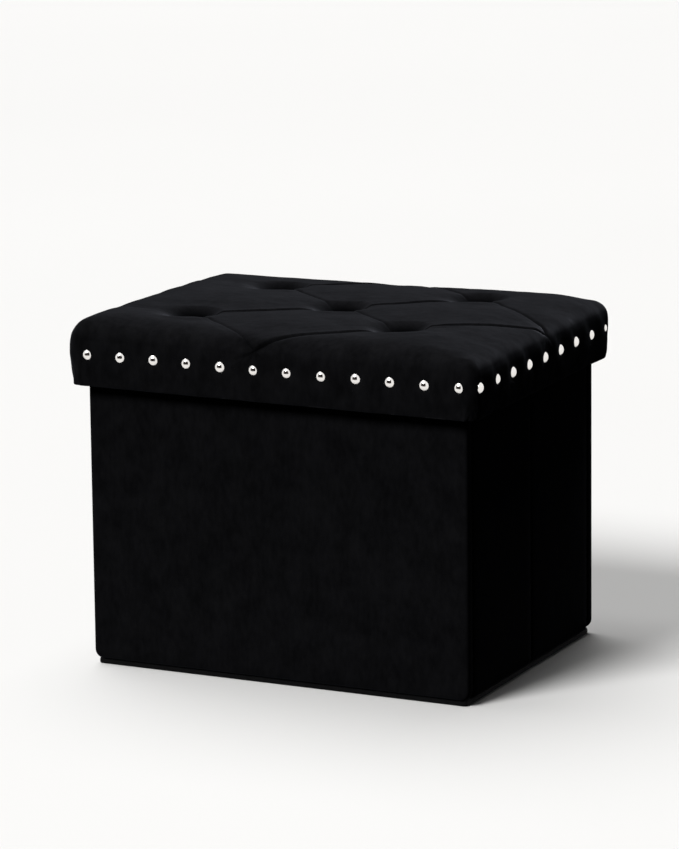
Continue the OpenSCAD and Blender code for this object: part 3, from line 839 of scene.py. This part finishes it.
twine = make_twine()
twine_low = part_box("tuft_twine")[0]
for k, tuft in enumerate(tufts):
    top = button_low.z + 0.0008
    length = top - twine_low.z
    bpy.ops.mesh.primitive_cylinder_add(
        vertices=12, radius=0.0009, depth=length, location=(0, 0, (top + twine_low.z) / 2)
    )
    strand = bpy.context.object
    strand.name = f"tuft_twine_{k + 1}"
    bpy.ops.object.transform_apply(location=True, rotation=True, scale=True)
    cut_into_rows(strand, 2, 0.0008)
    for point in strand.data.vertices:
        turn = np.arctan2(point.co.y, point.co.x)
        rise = point.co.z - twine_low.z
        lobes = 1 + 0.18 * cos(3 * (turn - rise * 900))
        knot = 1 + 1.0 * np.exp(-(((rise - 0.0018) / 0.0014) ** 2))
        lean = max(0, (rise - 0.009) / (length - 0.009))
        point.co.x = point.co.x * lobes * knot + holes[k][0] * (1 - lean) + tuft[0] * lean
        point.co.y = point.co.y * lobes * knot + holes[k][1] * (1 - lean) + tuft[1] * lean
    bpy.ops.object.shade_smooth_by_angle(angle=radians(60))
    finish_piece(strand, twine, "twine", "lid")
    if k == 0:
        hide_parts("tuft_twine")
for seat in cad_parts["tuft_washers"].material_slots:
    seat.material = steel


# ---------------------------------------------------------------------------
# Nails: domed upholstery nails in bright nickel, pressed from sheet over a
# steel shank and driven through the velvet into the rim boards in one row.
# Twelve along the front and the back, nine along each end.
# ---------------------------------------------------------------------------
nickel = make_metal("bright_nickel", (0.80, 0.77, 0.74), (0.90, 0.88, 0.86), 0.10)
head_r = 0.0055
dome_h = 0.0028
ball_r = (head_r**2 + dome_h**2) / (2 * dome_h)
bpy.ops.mesh.primitive_uv_sphere_add(
    segments=28, ring_count=40, radius=ball_r, location=(0, 0, dome_h - ball_r)
)
nail = bpy.context.object
nail.name = "nail_pattern"
bpy.ops.object.transform_apply(location=True, rotation=True, scale=True)
bpy.ops.object.mode_set(mode="EDIT")
bpy.ops.mesh.select_all(action="SELECT")
bpy.ops.mesh.bisect(plane_co=(0, 0, 0), plane_no=(0, 0, 1), use_fill=True, clear_inner=True)
bpy.ops.mesh.select_mode(type="FACE")
bpy.ops.mesh.extrude_region_move(TRANSFORM_OT_translate={"value": (0, 0, -0.0004)})
bpy.ops.mesh.inset(thickness=0.0006)
bpy.ops.mesh.extrude_region_move(TRANSFORM_OT_translate={"value": (0, 0, 0.0004)})
bpy.ops.mesh.inset(thickness=0.0041)
bpy.ops.mesh.extrude_region_move(TRANSFORM_OT_translate={"value": (0, 0, -0.0072)})
bpy.ops.mesh.extrude_region_move(TRANSFORM_OT_translate={"value": (0, 0, -0.0013)})
bpy.ops.mesh.merge(type="CENTER")
bpy.ops.object.mode_set(mode="OBJECT")
pick_edges(nail, lambda edge: all(abs(p.co.xy.length - head_r) < 3e-5 and p.co.z < 1e-6 for p in edge.verts))
bpy.ops.mesh.bevel(offset=0.00015, segments=2, affect="EDGES")
bpy.ops.object.mode_set(mode="OBJECT")
bpy.ops.object.shade_smooth_by_angle(angle=radians(40))

dice = np.random.default_rng(7)
nail_z = (nail_low.z + nail_high.z) / 2
for row, count, pitch, outward, shift in (
    ("front_nails", 12, front_pitch, (0, -1), row_shift),
    ("back_nails", 12, front_pitch, (0, 1), -row_shift),
    ("left_nails", 9, end_pitch, (-1, 0), 0),
    ("right_nails", 9, end_pitch, (1, 0), 0),
):
    heads = []
    for k in range(count):
        head = nail.copy()
        head.data = nail.data.copy()
        bpy.context.collection.objects.link(head)
        step = (k - (count - 1) / 2) * pitch + shift + dice.normal(0, 0.0003)
        blank_at = [outward[0] * (core[0] + nail_run) or step, outward[1] * (core[1] + nail_run) or step]
        swelling = pulled_cloth(*(np.array([at]) for at in blank_at))[3][0] - 0.0015
        if outward[0] and step > core[1]:
            swelling -= 0.0020
        face = (lid_half[1] if outward[1] else lid_half[0]) + swelling
        spot = Vector((outward[0] * face, outward[1] * face, nail_z + dice.normal(0, 0.0003)))
        spot += Vector((abs(outward[1]) * step, abs(outward[0]) * step, 0))
        aim = Vector((outward[0], outward[1], dice.normal(0, 0.03)))
        head.data.transform(Matrix.Translation(spot) @ aim.to_track_quat("Z", "Y").to_matrix().to_4x4())
        heads.append(head)
    bpy.ops.object.select_all(action="DESELECT")
    for head in heads:
        head.select_set(True)
    bpy.context.view_layer.objects.active = heads[0]
    bpy.ops.object.join()
    joined = bpy.context.object
    joined.name = f"nickel_{row}"
    joined.data.name = joined.name
    finish_piece(joined, nickel, "nickel", "lid", row)
bpy.data.objects.remove(nail)


# ---------------------------------------------------------------------------
# Studio: a plain pale floor, a broad soft key light from above and behind on
# the left, a fill from the front left, a dark card seen only in reflections,
# a weak light all round, and the camera in front on the right.
# ---------------------------------------------------------------------------
bpy.ops.mesh.primitive_plane_add(size=60, location=(0, 0, -0.0002))
floor = bpy.context.object
floor.name = "studio_floor"
floor.visible_diffuse = False
floor_paint, nodes, links, surface, place_of = new_material("studio_floor")
scuffs = noise_field(nodes, links, place_of, 0.5, 2)
links.new(
    shade_between(nodes, links, scuffs, (0.79, 0.785, 0.775), (0.81, 0.805, 0.795)),
    surface.inputs["Base Color"],
)
surface.inputs["Roughness"].default_value = 1
surface.inputs["Specular IOR Level"].default_value = 0
floor.data.materials.append(floor_paint)

bpy.ops.mesh.primitive_plane_add(size=1, location=(-0.35, -1.4, 0.62))
card = bpy.context.object
card.name = "studio_dark_card"
card.scale = (2.3, 1.24, 1)
card.rotation_euler = (radians(90), 0, 0)
bpy.ops.object.transform_apply(location=True, rotation=True, scale=True)
card.visible_camera = False
card.visible_diffuse = False
card.visible_shadow = False
card_paint, nodes, links, surface, place_of = new_material("studio_dark_card")
mottle = noise_field(nodes, links, place_of, 3, 2)
links.new(
    shade_between(nodes, links, mottle, (0.020, 0.010, 0.007), (0.03, 0.016, 0.012)),
    surface.inputs["Base Color"],
)
surface.inputs["Roughness"].default_value = 1
card.data.materials.append(card_paint)

bpy.ops.object.light_add(type="SUN", location=(0, 0, 3))
key = bpy.context.object
key.name = "key_light"
key.data.energy = 1.85
key.data.angle = radians(55)
key.rotation_euler = Vector((-0.36, 0.28, 1)).to_track_quat("Z", "Y").to_euler()

bpy.ops.object.light_add(type="SUN", location=(0, 0, 3))
fill = bpy.context.object
fill.name = "fill_light"
fill.data.energy = 3.0
fill.data.angle = radians(22)
fill.rotation_euler = Vector((-0.42, -1.0, 1.00)).to_track_quat("Z", "Y").to_euler()

world = bpy.data.worlds.new("studio")
bpy.context.scene.world = world
world.use_nodes = True
sky = world.node_tree.nodes
sky_links = world.node_tree.links
rays = sky.new("ShaderNodeLightPath")
seen = sky.new("ShaderNodeMath")
seen.operation = "MAXIMUM"
sky_links.new(rays.outputs["Is Camera Ray"], seen.inputs[0])
sky_links.new(rays.outputs["Is Glossy Ray"], seen.inputs[1])
level = sky.new("ShaderNodeMapRange")
level.inputs["To Min"].default_value = 0.02
level.inputs["To Max"].default_value = 1.0
sky_links.new(seen.outputs[0], level.inputs["Value"])
sky["Background"].inputs["Color"].default_value = (1, 1, 1, 1)
sky_links.new(level.outputs["Result"], sky["Background"].inputs["Strength"])

bpy.ops.object.camera_add(location=(2.1080, -4.3463, 1.3200))
camera = bpy.context.object
camera.data.lens = 212.0
camera.data.sensor_width = 36
camera.data.clip_end = 100
aim = Euler((radians(90 - 12.73), 0, radians(25.92))).to_matrix() @ Matrix.Rotation(radians(-0.66), 3, "Z")
camera.rotation_euler = aim.to_euler()
bpy.context.scene.camera = camera
scene = bpy.context.scene
scene.view_settings.view_transform = "Standard"
